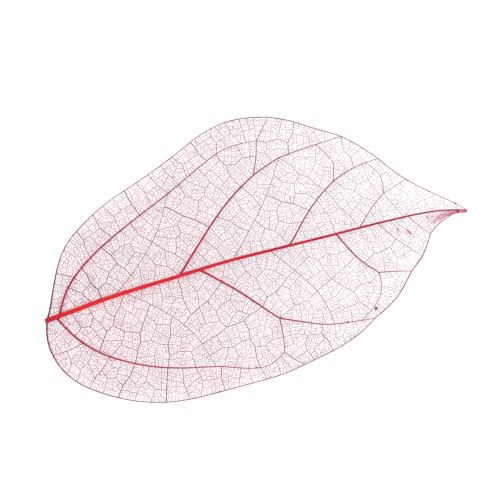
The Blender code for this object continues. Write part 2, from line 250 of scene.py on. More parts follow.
lower = smooth_path(LOWER_MARGIN)
upper = smooth_path(UPPER_MARGIN)
margin = blade.faces.new([blade.verts.new(point) for point in lower + upper[:0:-1]])
for index, loop in enumerate(margin.loops):
    if index < len(lower) - 1:
        loop.edge[VEIN] = LOWER_NUMBER
    elif index == len(lower) - 1:
        loop.edge[VEIN] = MIDRIB_NUMBER
number_new_edges(UPPER_NUMBER, upper[0], UPPER_MARGIN_WIDTHS)
main_veins[LOWER_NUMBER] = (lower[0].copy(), LOWER_MARGIN_WIDTHS)
cut_along(MIDRIB)
number_new_edges(MIDRIB_NUMBER, lower[0], MIDRIB_WIDTHS)
for number, (widths, points) in enumerate(LATERALS.values(), MIDRIB_NUMBER + 1):
    cut_along(points)
    number_new_edges(number, smooth_path(points)[0], widths)
for edge in blade.edges:
    edge[PULL] = MAIN_PULL
print(len(blade.faces), "fields between the main veins")

# %% [markdown]
# ## The net between the main veins
#
# In a growing leaf the finer veins come later: when a field of tissue gets too large, a new vein
# forms across it. The rule here is the same. The largest cell is cut in two by a short vein that
# crosses its middle and meets its sides squarely, again and again. A Voronoi pattern would be
# quicker, but its cells have no order of age, and a leaf's net gets its look from straight old
# veins with younger ones hung between them.

# %% One cut across a cell
DIRECTIONS = 12
JUNCTION_SPACING = 0.24
CENTRE_DRIFT = 0.07
SQUARE_ENDS = 1.2
OFF_CENTRE_COST = 2


def crossings(face, centre, direction):
    """Where a line crosses the face's edges: distance along the line, edge loop and share of it."""
    found = []
    side = Vector((-direction.y, direction.x, 0))
    for loop in face.loops:
        a = (loop.vert.co - centre).dot(side)
        b = (loop.link_loop_next.vert.co - centre).dot(side)
        if (a > 0) == (b > 0):
            continue
        share = a / (a - b)
        point = loop.vert.co.lerp(loop.link_loop_next.vert.co, share)
        found.append(((point - centre).dot(direction), loop, share))
    return sorted(found, key=lambda crossing: crossing[0])


def slant(loop, direction):
    """0 where a vein in this direction leaves the edge squarely, up to 1 where it runs along it."""
    along = loop.link_loop_next.vert.co - loop.vert.co
    return along.dot(direction) ** 2 / along.length_squared


def junction_place(loop, share, spacing):
    """The share of the edge where a new vein may join it, or the vertex that stands too near."""
    length = loop.edge.calc_length()
    near, rest = (loop.vert, share) if share < 0.5 else (loop.link_loop_next.vert, 1 - share)
    if rest * length > spacing:
        return share, None
    if len(near.link_edges) == 2 or length < 2 * spacing:
        return share, near
    rest = spacing / length
    return (rest if share < 0.5 else 1 - rest), None


def ends_meet(face, first, last):
    """Whether a vein between these two ends would lie along an edge that the face already has."""
    (first_loop, _, first_vert), (last_loop, _, last_vert) = first, last
    if first_vert and last_vert:
        same = first_vert is last_vert
        return same or any({first_vert, last_vert} == set(edge.verts) for edge in face.edges)
    return first_vert in last_loop.edge.verts or last_vert in first_loop.edge.verts


def best_cut(face, rng):
    """The two ends of a short vein across the middle of the face that meets its sides squarely."""
    size = math.sqrt(face.calc_area())
    spacing = JUNCTION_SPACING * size
    drift = CENTRE_DRIFT * size
    centre = face.calc_center_median_weighted()
    centre += Vector((rng.gauss(0, drift), rng.gauss(0, drift), 0))
    turn = rng.uniform(0, math.pi)
    best = None
    for step in range(DIRECTIONS):
        angle = turn + math.pi * step / DIRECTIONS
        direction = Vector((math.cos(angle), math.sin(angle), 0))
        found = crossings(face, centre, direction)
        for first, last in zip(found[::2], found[1::2]):
            length = last[0] - first[0]
            off_centre = abs(first[0] + last[0]) / 2
            squareness = 1 + SQUARE_ENDS * (slant(first[1], direction) + slant(last[1], direction))
            cost = length * squareness + OFF_CENTRE_COST * off_centre
            ends = [(end[1], *junction_place(end[1], end[2], spacing)) for end in (first, last)]
            if ends_meet(face, *ends):
                continue
            if best is None or cost < best[0]:
                best = (cost, ends)
    return best and best[1]


# %% Cutting the largest cell again and again
def halve(face, rng):
    """Cuts a face in two with one vein across its middle, and returns the new face and the vein."""
    cut = best_cut(face, rng)
    if cut is None:
        return None, None
    ends = []
    for loop, share, vert in cut:
        ends.append(vert or bmesh.utils.edge_split(loop.edge, loop.vert, share)[1])
    new_face, new_loop = bmesh.utils.face_split(face, *ends)
    return new_face, new_loop.edge


def grow_net(net, cells, rng, closeness):
    """Cuts the cell with the largest area times closeness until the net has this many cells."""
    pull, number_layer = layers_of(net)
    number = max(edge[number_layer] for edge in net.edges)

    def entry(face, index):
        """A place in the queue. The smallest entry leaves it first, so the size is negative."""
        return -face.calc_area() * closeness(face), index, face

    queue = [entry(face, index) for index, face in enumerate(net.faces)]
    heapq.heapify(queue)
    while len(net.faces) < cells:
        _, index, face = heapq.heappop(queue)
        area = face.calc_area()
        new_face, vein = halve(face, rng)
        if vein is None:
            continue
        number += 1
        vein[pull] = area
        vein[number_layer] = number
        heapq.heappush(queue, entry(face, index))
        heapq.heappush(queue, entry(new_face, len(net.faces)))


# %% [markdown]
# ## Letting the net settle
#
# Straight cuts alone look like cracks in dry mud. In a leaf the veins pull on each other while it
# grows, and an early vein pulls harder than a late one. Here each junction moves a little towards
# its neighbours, weighted by the area of the cell that each vein once cut. A junction on a main
# vein slides along it instead, until the finer vein meets it squarely.

# %% Junctions that move
RELAX_SHARE = 0.45
RELAX_ROUNDS = 3
SLIDE_LIMIT = 0.3


def sliding_junctions(net, straight):
    """Each junction of a net vein with a straight stretch of a main vein, and its neighbours."""
    pull, _ = layers_of(net)
    found = []
    for vert in net.verts:
        main = [edge.other_vert(vert) for edge in vert.link_edges if edge[pull] == MAIN_PULL]
        young = [edge.other_vert(vert) for edge in vert.link_edges if edge[pull] < MAIN_PULL]
        if len(main) != 2 or len(young) != 1:
            continue
        if (vert.co - main[0].co).angle(main[1].co - vert.co) < straight:
            found.append((vert, *main, young[0]))
    return found


def relax(net, straight):
    """Pulls free junctions towards their neighbours, and slides those on a main vein along it."""
    pull, _ = layers_of(net)
    free = [vert for vert in net.verts if max(edge[pull] for edge in vert.link_edges) < MAIN_PULL]
    sliding = sliding_junctions(net, straight)
    for _ in range(RELAX_ROUNDS):
        places = []
        for vert in free:
            pulls = [edge[pull] for edge in vert.link_edges]
            ends = [edge.other_vert(vert).co for edge in vert.link_edges]
            middle = sum((end * each for end, each in zip(ends, pulls)), Vector()) / sum(pulls)
            places.append((vert, vert.co.lerp(middle, RELAX_SHARE)))
        for vert, start, end, young in sliding:
            line = end.co - start.co
            share = (young.co - start.co).dot(line) / line.length_squared
            square = start.co.lerp(end.co, clamped(share, SLIDE_LIMIT, 1 - SLIDE_LIMIT))
            places.append((vert, vert.co.lerp(square, RELAX_SHARE)))
        for vert, place in places:
            vert.co = place


# %% The coarse net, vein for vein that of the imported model
COARSE_CELLS = 270
COARSE_SEED = 8
COARSE_STRAIGHT = 0.01

grow_net(blade, COARSE_CELLS, random.Random(COARSE_SEED), lambda face: 1)
relax(blade, COARSE_STRAIGHT)
print(len(blade.faces), "coarse cells,", len(blade.edges), "edges")

# %% [markdown]
# ## From the coarse net to the fine one
#
# A solid model can't hold threads finer than about half a millimetre, but the real net goes on
# down to cells about as wide as a pinhead. The same rule simply runs on. First the main veins get
# closer points and are smoothed, because at this scale the corners of their coarse paths would
# show. The net of this leaf is closer near the stalk than towards the tip, and closest along the
# lower edge of the drip tip, where the blade has shrunk most. So when the next cell to cut is
# chosen, a cell counts as larger or smaller than it is by its distance from the stalk.

# %% Smoother main veins
MAIN_STEP = 0.9 * MM
SMOOTH_ROUNDS = 12
SHARP_BEND = 0.7


def shorten_main_edges():
    """Halves the edges of the main veins until none is longer than the step."""
    long = [True]
    while long:
        main = [edge for edge in blade.edges if edge[PULL] == MAIN_PULL]
        long = [edge for edge in main if edge.calc_length() > MAIN_STEP]
        for edge in long:
            bmesh.utils.edge_split(edge, edge.verts[0], 0.5)


def smooth_main_veins():
    """Moves each point of a main vein towards the middle of its neighbours. Sharp bends stay."""
    bends = []
    for vert in blade.verts:
        ends = [edge.other_vert(vert) for edge in vert.link_edges if edge[PULL] == MAIN_PULL]
        if len(ends) == 2 and (vert.co - ends[0].co).angle(ends[1].co - vert.co) < SHARP_BEND:
            bends.append((vert, *ends))
    for _ in range(SMOOTH_ROUNDS):
        places = [(vert, vert.co.lerp((a.co + b.co) / 2, 0.5)) for vert, a, b in bends]
        for vert, place in places:
            vert.co = place
    return len(bends)


shorten_main_edges()
print(smooth_main_veins(), "points of the main veins smoothed")

# %% The fine net
def interpolate(points, x):
    """The height of a line of points at x, straight between them."""
    for (ax, ay), (bx, by) in zip(points, points[1:]):
        if x <= bx:
            return ay + (by - ay) * max(0, x - ax) / (bx - ax) if bx > ax else ay
    return points[-1][1]


FINE_CELLS = 12500
FINE_SEED = 21
FINE_STRAIGHT = 0.4
UPPER_CLOSENESS = [(0, 1.25), (45, 1.05), (66, 0.9), (80, 0.95), (90, 1.8)]
LOWER_CLOSENESS = [(0, 1.25), (45, 1.05), (66, 0.9), (80, 1.0), (82.5, 2.8), (90, 5.0)]


def closeness(face):
    """How much more closely the net is cut at this distance from the stalk."""
    x, y = face.loops[0].vert.co.xy / MM
    return interpolate(UPPER_CLOSENESS if y > interpolate(MIDRIB, x) else LOWER_CLOSENESS, x)


grow_net(blade, FINE_CELLS, random.Random(FINE_SEED), closeness)
relax(blade, FINE_STRAIGHT)
print(len(blade.faces), "cells,", len(blade.verts), "points,", len(blade.edges), "edges")

# %% [markdown]
# ## The bend of the dried blade
#
# A drying leaf doesn't stay flat. This one is arched along its midrib, its sides droop and wave,
# the widest parts of both margins touch the surface, and the tip stands up a little. A bend could
# be sculpted, but a height that follows a rule gives both the solid and this net the same shape.
# A small pucker is added here, because the tissue between two veins dries unevenly.

# %% Height of the blade at a point
REST_HEIGHT = 0.12 * MM
STUB_HEIGHT = 0.5 * MM
MIDRIB_RISE = 2.7 * MM
MARGIN_RISE = 1.9 * MM
RIPPLE = 0.55 * MM
RIPPLE_LENGTH = 21.0 * MM
RIPPLE_START = (2.5, 1.0)
LEAST_HALF_WIDTH = 15.0 * MM
TOUCH_AT = 0.62
TOUCH_SPREAD = 0.2
TIP_RISE_FROM = 0.66
TIP_RISE = 3.4 * MM
TIP_RISE_POWER = 1.5
PUCKER = 0.16 * MM
PUCKER_LENGTH = 5.0 * MM


def smooth_step(value):
    value = clamped(value)
    return value * value * (3 - 2 * value)


def blade_height(point):
    """How high the blade lies: an arched midrib, drooping waved sides and a raised tip."""
    x, y = point.x / MM, point.y / MM
    along = point.x / LENGTH
    midrib = interpolate(MIDRIB, x)
    margin = interpolate(UPPER_MARGIN if y > midrib else LOWER_MARGIN, x)
    out = abs(y - midrib) * MM / max(abs(margin - midrib) * MM, LEAST_HALF_WIDTH)
    middle = STUB_HEIGHT + MIDRIB_RISE * math.sin(math.pi * clamped(along)) ** 2
    touch = math.exp(-((along - TOUCH_AT) / TOUCH_SPREAD) ** 2)
    wave = RIPPLE * math.sin(2 * math.pi * point.x / RIPPLE_LENGTH + RIPPLE_START[y > midrib])
    edge = REST_HEIGHT + (MARGIN_RISE + wave) * (1 - touch)
    tip = TIP_RISE * smooth_step((along - TIP_RISE_FROM) / (1 - TIP_RISE_FROM)) ** TIP_RISE_POWER
    return middle + (edge - middle) * out ** 2 + tip


def lifted(point, radius):
    """The point, its own z above the bent blade, and at least this radius above the surface."""
    pucker = PUCKER * noise.noise(Vector((point.x, point.y, 0)) / PUCKER_LENGTH)
    return Vector((point.x, point.y, max(blade_height(point) + pucker + point.z, radius)))


heights = [blade_height(vert.co) / MM for vert in blade.verts]
print("the blade lies", round(min(heights), 2), "to", round(max(heights), 2), "mm over the surface")

# %% [markdown]
# ## How wide each vein is
#
# All the edges with one number are one vein, from the place where it leaves an older vein to the
# place where it ends. A vein is as wide as it is old: the area of the cell that it once cut,
# raised to a small power, gives its width, with a little luck for each vein and each junction, as
# no two grew alike. So the net gets its few bold cross veins and its many hair-fine ones without
# a list of any of them. Towards the tip the whole net is finer and its veins differ less. Only the
# main veins taper, by the widths in their table.

# %% Veins as chains of points
# A vein that cut this area, in square millimetres, is this wide, in millimetres
NET_AREA = 0.5
NET_WIDTH = 0.0385
# How fast the width grows with the area, by the distance from the stalk in millimetres
NET_POWERS = [(0, 0.22), (35, 0.22), (65, 0.175), (90, 0.16)]
WIDER_AT_STALK = 1.25
WIDER_AT_TIP = 0.97
FLARE = 1.3
FLARE_LENGTH = 0.8 * MM


def edges_by_vein(net):
    """The net's edges, sorted by the number of their vein."""
    _, number_layer = layers_of(net)
    found = {}
    for edge in net.edges:
        found.setdefault(edge[number_layer], []).append(edge)
    return found


def in_order(edges, start=None):
    """The places of a vein's points from end to end, beginning at the end nearest to start."""
    neighbours = {}
    for edge in edges:
        a, b = edge.verts
        neighbours.setdefault(a, []).append(b)
        neighbours.setdefault(b, []).append(a)
    ends = [vert for vert, others in neighbours.items() if len(others) == 1]
    here = min(ends, key=lambda vert: (vert.co - start).length) if start else ends[0]
    before, order = None, [here]
    while len(order) < len(neighbours):
        before, here = here, next(vert for vert in neighbours[here] if vert is not before)
        order.append(here)
    return [vert.co.copy() for vert in order]


def net_width(area, x):
    """The width in mm of a vein that cut a cell of this area, at this place along the leaf."""
    wider = WIDER_AT_STALK + (WIDER_AT_TIP - WIDER_AT_STALK) * x / LENGTH
    return NET_WIDTH * (area / MM ** 2 / NET_AREA) ** interpolate(NET_POWERS, x / MM) * wider


def tapered(path, widths, flare=FLARE):
    """The width in mm at each point of a main vein, flared where it leaves its parent."""
    lengths = [0]
    for a, b in zip(path, path[1:]):
        lengths.append(lengths[-1] + (b - a).length)
    table = [(lengths[-1] * i / (len(widths) - 1), width) for i, width in enumerate(widths)]
    return [interpolate(table, length) * (1 + (flare - 1) * math.exp(-length / FLARE_LENGTH))
            for length in lengths]


# %% Sorting the veins
CROSS_AREA = 3.0 * MM ** 2
CROSS_SPREAD = 0.1
FINE_SPREAD = 0.3
MOST_LUCK = 0.65
WIDTH_SEED = 11

rng = random.Random(WIDTH_SEED)
margin_veins, main_chains, cross_chains, fine_chains = [], [], [], []
for number, edges in edges_by_vein(blade).items():
    if number in main_veins:
        start, widths = main_veins[number]
        path = in_order(edges, start)
        chain = (path, tapered(path, widths, 1 if number == MIDRIB_NUMBER else FLARE))
        (margin_veins if number in (LOWER_NUMBER, UPPER_NUMBER) else main_chains).append(chain)
        continue
    path = in_order(edges)
    area = edges[0][PULL]
    chains, uneven = (
        (cross_chains, CROSS_SPREAD) if area > CROSS_AREA else (fine_chains, FINE_SPREAD))
    luck = rng.gauss(0, uneven)
    lucks = [min(luck + rng.gauss(0, uneven), MOST_LUCK) for _ in path]
    chains.append((path, [
        net_width(area, point.x) * math.exp(each) for point, each in zip(path, lucks)]))
print(len(main_chains), "main,", len(cross_chains), "cross and", len(fine_chains), "fine veins")

# %% [markdown]
# ## Veins that end free
#
# Inside many of the smallest cells a last hair of a vein reaches in and stops. They are too short
# to be seen one by one from a step away, but they give the real net its grain. They could be cuts
# like all the rest, but a vein that ends free splits no cell, so they are laid in last.

# %% Free ends
FREE_SHARE = 0.45
FREE_SEED = 5
FREE_START = (0.3, 0.7)
FREE_REACH = (0.55, 0.95)
FREE_BEND = 0.25
FREE_WIDTHS = (0.034, 0.03, 0.016)

rng = random.Random(FREE_SEED)
free_chains = []
for face in blade.faces:
    if rng.random() > FREE_SHARE:
        continue
    loop = rng.choice(face.loops[:])
    start = loop.vert.co.lerp(loop.link_loop_next.vert.co, rng.uniform(*FREE_START))
    end = start.lerp(face.calc_center_median(), rng.uniform(*FREE_REACH))
    aside = Vector((start.y - end.y, end.x - start.x, 0)) * rng.uniform(-FREE_BEND, FREE_BEND)
    free_chains.append(([start, (start + end) / 2 + aside, end], FREE_WIDTHS))
print(len(free_chains), "free ends")

# %% [markdown]
# ## A tree that turns chains into veins
#
# Each chain becomes a curve, and a round or oval profile is swept along it. A Wireframe modifier
# would also thicken the edges, but it knows no direction: it can't taper a vein, groove its upper
# side or lay fibres along it. The tree keeps three things for the material on every point: the
# vein's width, and where the point lies around the vein and along it.

# %% Small helpers for node trees
def feed(tree, made, inputs):
    """Sets a node's inputs, each by its name or number, to a value, an output or a node's first
    output. An underscore in a name stands for a space."""
    for name, value in inputs.items():
        socket = made.inputs[name.replace("_", " ") if isinstance(name, str) else name]
        if isinstance(value, bpy.types.Node):
            value = value.outputs[0]
        if isinstance(value, bpy.types.NodeSocket):
            tree.links.new(value, socket)
        else:
            socket.default_value = value


def node(tree, kind, settings=None, **inputs):
    """A node with its settings and its inputs."""
    made = tree.nodes.new(kind)
    for name, value in (settings or {}).items():
        setattr(made, name, value)
    feed(tree, made, inputs)
    return made


def math_node(tree, operation, a, b, kind="ShaderNodeMath"):
    """A node that calculates with two numbers, or with two vectors."""
    made = node(tree, kind, {"operation": operation})
    feed(tree, made, {0: a, 1: b})
    return made


def stored(tree, geometry, name, value, kind="FLOAT_VECTOR"):
    """The geometry with this value kept on its points under a name."""
    return node(tree, "GeometryNodeStoreNamedAttribute", {"data_type": kind},
                Geometry=geometry, Name=name, Value=value)


def kept(tree, name, kind="FLOAT_VECTOR"):
    """What the points keep under a name."""
    return node(tree, "GeometryNodeInputNamedAttribute", {"data_type": kind}, Name=name)


# %% How a tree starts and ends
def start_tree(name, **inputs):
    """A geometry node tree, what it is given, and its inputs' identifiers by name."""
    tree = bpy.data.node_groups.new(name, "GeometryNodeTree")
    tree.interface.new_socket("Geometry", in_out="OUTPUT", socket_type="NodeSocketGeometry")
    names = {}
    for title, kind in {"Geometry": "Geometry", **inputs}.items():
        socket = tree.interface.new_socket(title, in_out="INPUT", socket_type="NodeSocket" + kind)
        names[title] = socket.identifier
    return tree, node(tree, "NodeGroupInput").outputs, names


def end_tree(tree, geometry, finish):
    """Smooth shading, real points in place of instances, and the finish."""
    smooth = node(tree, "GeometryNodeSetShadeSmooth", Geometry=geometry)
    real = node(tree, "GeometryNodeRealizeInstances", Geometry=smooth)
    finished = node(tree, "GeometryNodeSetMaterial", Geometry=real, Material=finish)
    node(tree, "NodeGroupOutput", Geometry=finished)


# %% The vein tree
GROOVE_SHARPNESS = 6.0


def vein_tree():
    """Mesh edges in, swept veins out."""
    tree, given, names = start_tree(
        "veins", Sides="Int", Height="Float", Groove="Float", Unevenness="Float", Finish="Material")
    add = functools.partial(node, tree)
    calculated = functools.partial(math_node, tree)
    product = functools.partial(math_node, tree, "MULTIPLY")

    # The profile: a circle, pressed flat by Height, with a groove along its upper side
    circle = add("GeometryNodeCurvePrimitiveCircle", Resolution=given["Sides"], Radius=1.0)
    position = add("GeometryNodeInputPosition")
    around = stored(tree, circle, "around", position)
    x, y, _ = add("ShaderNodeSeparateXYZ", Vector=position).outputs
    upper_side = calculated("POWER", calculated("MAXIMUM", y, 0.0), GROOVE_SHARPNESS)
    dip = calculated("SUBTRACT", 1.0, product(upper_side, given["Groove"]))
    height = product(product(y, given["Height"]), dip)
    pressed = add("ShaderNodeCombineXYZ", X=x, Y=height)
    profile = add("GeometryNodeSetPosition", Geometry=around, Position=pressed)

    # The paths: chains of edges, with the radius of each point a little uneven
    curve = add("GeometryNodeMeshToCurve", Mesh=given["Geometry"])
    upright = add("GeometryNodeSetCurveNormal", {"mode": "Z_UP"}, Curve=curve)
    length = add("GeometryNodeSplineParameter").outputs["Length"]
    along = stored(tree, upright, "along", length, "FLOAT")
    bumps = add("ShaderNodeTexNoise", Scale=1800.0, Detail=1.0)
    uneven = product(calculated("SUBTRACT", bumps, 0.5), given["Unevenness"])
    half = product(kept(tree, "width", "FLOAT"), 0.5 * MM)
    radius = product(half, calculated("ADD", 1.0, uneven))

    # The veins: the profile swept along the paths, with its place on the vein kept for the finish
    veins = add("GeometryNodeCurveToMesh", Curve=along, Profile_Curve=profile,
                Scale=radius, Fill_Caps=True)
    x, y, _ = add("ShaderNodeSeparateXYZ", Vector=kept(tree, "around")).outputs
    place = add("ShaderNodeCombineXYZ", X=x, Y=y, Z=kept(tree, "along", "FLOAT"))
    end_tree(tree, stored(tree, veins, "fibre", place), given["Finish"])
    return tree, names


VEIN_TREE, VEIN_INPUTS = vein_tree()
print("vein tree:", len(VEIN_TREE.nodes), "nodes")

# %% Running a tree on a mesh
def new_object(name, data):
    """An object with this data, in the scene."""
    obj = bpy.data.objects.new(name, data)
    bpy.context.scene.collection.objects.link(obj)
    return obj


def made_by_tree(name, mesh, tree, names, settings):
    """An object with what the tree makes of this mesh, as a plain mesh with no modifier left."""
    obj = new_object(name, mesh)
    modifier = obj.modifiers.new("tree", "NODES")
    modifier.node_group = tree
    for title, value in settings.items():
        modifier[names[title]] = value
    graph = bpy.context.evaluated_depsgraph_get()
    made = bpy.data.meshes.new_from_object(obj.evaluated_get(graph))
    obj.modifiers.clear()
    obj.data = made
    made.name = name
    for vert in made.vertices:
        vert.co.z = max(vert.co.z, 0)  # what lies on the surface is pressed flat by it
    made.update()
    triangles = sum(len(face.vertices) - 2 for face in made.polygons)
    print(name, "has", triangles, "triangles, made from", len(mesh.vertices), "points")
    return obj


def swept(name, chains, finish, sides=4, height=1.0, groove=0.0, unevenness=0.3):
    """One piece with a vein along each chain of flat points and widths."""
    points, edges, widths = [], [], []
    for path, path_widths in chains:
        first = len(points)
        points += [lifted(point, width * MM / 2) for point, width in zip(path, path_widths)]
        edges += [(i, i + 1) for i in range(first, len(points) - 1)]
        widths += path_widths
    mesh = bpy.data.meshes.new(name + "_paths")
    mesh.from_pydata(points, edges, [])
    mesh.attributes.new("width", "FLOAT", "POINT").data.foreach_set("value", widths)
    return made_by_tree(name, mesh, VEIN_TREE, VEIN_INPUTS, {
        "Sides": sides, "Height": height, "Groove": groove, "Unevenness": unevenness,
        "Finish": finish})


# %% [markdown]
# ## Dyed fibre
#
# The leaf was bleached and dyed with one red, but it doesn't look like one red. A thick rib shows
# its dye through a deep bundle of fibres: red on the strands, with painted shade in the furrows.
# A hair-fine vein shows a duller crimson, the duller the nearer it is to the tip. The finish reads
# the vein's width for this, lays the fibre streaks by the place around and along the vein, and
# varies slowly over the blade. A picture of a real fibre could be wrapped round each vein, but
# noise has no seams and no limit.

# %% Helpers for finishes
def new_material(name):
    """A material, its node tree and its shader."""
    material = bpy.data.materials.new(name)
    material.use_nodes = True
    return material, material.node_tree, material.node_tree.nodes["Principled BSDF"]


def spread(tree, value, low, high, to_low=0.0, to_high=1.0):
    """The value, carried from one range over to another."""
    return node(tree, "ShaderNodeMapRange", Value=value, From_Min=low, From_Max=high,
                To_Min=to_low, To_Max=to_high)


def ramp(tree, value, rows, unit=1.0):
    """The colour at this value, from rows of a value in this unit and a colour."""
    last = rows[-1][0]
    made = node(tree, "ShaderNodeValToRGB", Fac=spread(tree, value, 0.0, last * unit))
    stops = made.color_ramp.elements
    for at, colour in rows[1:-1]:
        stops.new(at / last).color = (*colour, 1)
    stops[0].position = rows[0][0] / last
    stops[0].color = (*rows[0][1], 1)
    stops[-1].color = (*rows[-1][1], 1)
    return made


def mixed(tree, factor, a, b, blend="MIX"):
    """Colour a with this much of colour b mixed in."""
    made = node(tree, "ShaderNodeMix", {"data_type": "RGBA", "blend_type": blend}, Factor=factor)
    feed(tree, made, {6: a, 7: b})
    return made.outputs[2]


# %% Fibre finish
FIBRE_SCALE = (2.2, 2.2, 380.0)
# The noise between which a furrow's painted shade deepens, and between which a strand gets shinier
FURROW_SHADE_FROM, FURROW_SHADE_TO = 0.62, 0.38
SHINE_FROM, SHINE_TO = 0.3, 0.7
ROUGHNESS_SWING = 0.12
RELIEF_STRENGTH = 0.8
SHINE = 0.15
# Patches that took less dye
PATCH_SCALE = 90.0
PATCH_FROM, PATCH_TO, PATCH_SHARE = 0.4, 0.7, 0.25
DARK_STUB = (0.36, 0.006, 0.014, 1)
STUB_FROM, STUB_TO = 6.5 * MM, 0.0


def fibre_finish(name, colours, pale, furrow_shade, roughness, relief, stub=0.0, tints=None):
    """Dyed fibre. colours are (width in mm, colour) from thin to thick, pale the colour of the
    patches, furrow the painted shade in the furrows between strands, stub the share of dark at
    the cut stalk, and tints (distance from the stalk in mm, what the colour is multiplied by)."""
    material, tree, shader = new_material(name)
    add = functools.partial(node, tree)

    # Streaks run along the vein: the noise changes fast around it and slowly along it
    fibre = add("ShaderNodeAttribute", {"attribute_name": "fibre"}).outputs["Vector"]
    drawn_out = add("ShaderNodeMapping", Vector=fibre, Scale=FIBRE_SCALE)
    streaks = add("ShaderNodeTexNoise", Vector=drawn_out, Scale=1.0, Detail=4.0, Roughness=0.6)
    place = add("ShaderNodeTexCoord").outputs["Object"]
    patches = add("ShaderNodeTexNoise", Vector=place, Scale=PATCH_SCALE, Detail=3.0)

    # Colour by width, then by patch, by distance from the stalk, by painted shade in the furrows,
    # and darker at the cut
    width = add("ShaderNodeAttribute", {"attribute_name": "width"}).outputs["Fac"]
    x = add("ShaderNodeSeparateXYZ", Vector=place)
    paler = spread(tree, patches, PATCH_FROM, PATCH_TO, 0.0, PATCH_SHARE)
    colour = mixed(tree, paler, ramp(tree, width, colours), pale)
    if tints:
        colour = mixed(tree, 1.0, colour, ramp(tree, x, tints, MM), "MULTIPLY")
    # Painted shade: darker colour where the streak noise is low, where the bump sinks a furrow
    colour = mixed(tree, spread(tree, streaks, FURROW_SHADE_FROM, FURROW_SHADE_TO), colour, furrow_shade, "MULTIPLY")
    colour = mixed(tree, spread(tree, x, STUB_FROM, STUB_TO, 0.0, stub), colour, DARK_STUB)
    dullness = spread(tree, streaks, SHINE_FROM, SHINE_TO,
                      roughness + ROUGHNESS_SWING, roughness - ROUGHNESS_SWING)
    bump = add("ShaderNodeBump", Strength=RELIEF_STRENGTH, Distance=relief, Height=streaks)
    feed(tree, shader, {
        "Base Color": colour, "Roughness": dullness, "Normal": bump, "Specular IOR Level": SHINE})
    return material


# %% The four finishes of the leaf
NET_TINTS = [(25, (1, 1, 1)), (75, (0.7, 1, 0.85)), (79, (0.72, 1, 0.85)), (83, (1, 1, 1))]
EDGE_TINTS = [(84.5, (1, 1, 1)), (87, (0.8, 1, 0.9)), (90, (0.72, 0.95, 0.85))]

# The furrow colour of each finish is painted shade, multiplied in where the strands' relief dips
rib_finish = fibre_finish(
    "dyed_rib_fibre",
    [(0.1, (0.175, 0.008, 0.07)), (0.3, (0.285, 0.008, 0.06)),
     (0.5, (0.43, 0.008, 0.03)), (0.9, (0.7, 0.009, 0.018))],
    pale=(0.75, 0.02, 0.045, 1), furrow_shade=(0.62, 0.5, 0.6, 1),
    roughness=0.6, relief=0.05 * MM, stub=0.85)
thread_finish = fibre_finish(
    "dyed_thread_fibre",
    [(0.03, (0.24, 0.01, 0.115)), (0.06, (0.23, 0.009, 0.09)), (0.14, (0.22, 0.008, 0.065))],
    pale=(0.58, 0.03, 0.18, 1), furrow_shade=(0.8, 0.75, 0.8, 1),
    roughness=0.68, relief=0.01 * MM, tints=NET_TINTS)
edge_finish = fibre_finish(
    "dyed_edge_fibre", [(0.03, (0.9, 0.02, 0.21)), (0.1, (0.7, 0.014, 0.12))],
    pale=(0.75, 0.03, 0.18, 1), furrow_shade=(0.85, 0.8, 0.85, 1),
    roughness=0.68, relief=0.01 * MM, tints=EDGE_TINTS)
margin_finish = fibre_finish(
    "dyed_margin_fibre", [(0.1, (0.14, 0.012, 0.06)), (0.2, (0.18, 0.012, 0.065))],
    pale=(0.4, 0.03, 0.12, 1), furrow_shade=(0.7, 0.6, 0.7, 1), roughness=0.66, relief=0.02 * MM)
print("finishes:", rib_finish.name, thread_finish.name, edge_finish.name, margin_finish.name)

# %% [markdown]
# ## The ribs
#
# The midrib is the one part of the leaf with a visible form of its own. It is oval, with a shallow
# groove along its upper side, and it narrows from nearly a millimetre at the stalk to a quarter of
# that in the drip tip. At its cut end a few torn strands stick out, because the stalk was pulled
# off, not sawn. The vein tree could end it in a plain cap, but a clean cut would look like wire.

# %% Torn strands at the stalk end
STRANDS = 7
STRAND_SEED = 3
STRAND_WIDTHS = (0.13, 0.1, 0.04)
STRAND_SPAN = 0.6 * MM
STRAND_REACH = (0.05 * MM, 0.3 * MM)
STRAND_FAN = (0.8, 1.3)
STRAND_KNEE = 0.6
STRAND_BEND = 0.06 * MM

rng = random.Random(STRAND_SEED)
strand_chains = []
for index in range(STRANDS):
    across = (index / (STRANDS - 1) - 0.5) * STRAND_SPAN
    root = Vector((0, across, 0))
    reach = rng.uniform(*STRAND_REACH)
    end = Vector((-STUB_LENGTH - reach, across * rng.uniform(*STRAND_FAN), 0))
    aside = rng.uniform(-STRAND_BEND, STRAND_BEND)
    middle = root.lerp(end, STRAND_KNEE) + Vector((0, aside, 0))
    strand_chains.append(([root, middle, end], STRAND_WIDTHS))
print(len(strand_chains), "torn strands")

# %% Midrib, laterals and margin
STUB_NARROWING = 0.95

midrib_path, midrib_widths = max(main_chains, key=lambda chain: chain[1][0])
outward = (midrib_path[0] - midrib_path[1]).normalized()
midrib_path[0] = midrib_path[0] + outward * STUB_LENGTH
midrib_widths[0] *= STUB_NARROWING
ribs = swept("midrib_and_laterals", main_chains + strand_chains, rib_finish,
             sides=16, height=0.82, groove=0.3, unevenness=0.16)
margin_piece = swept("margin_vein", margin_veins, margin_finish, sides=8, unevenness=0.5)

# %% [markdown]
# ## The rolled edge of the drip tip
#
# In the drip tip the lower edge of the blade has shrunk and rolled up beside the midrib while it
# dried. The net lies there in several layers and looks like a solid red band. Bending the blade
# itself would move its outline, so a strip of net is grown flat by the same rule as the rest, and
# each of its points is then wound on to a spiral that narrows towards the tip. The strip is narrow
# where the roll begins, so there it is no more than a curled lip. Noise crumples it a little.

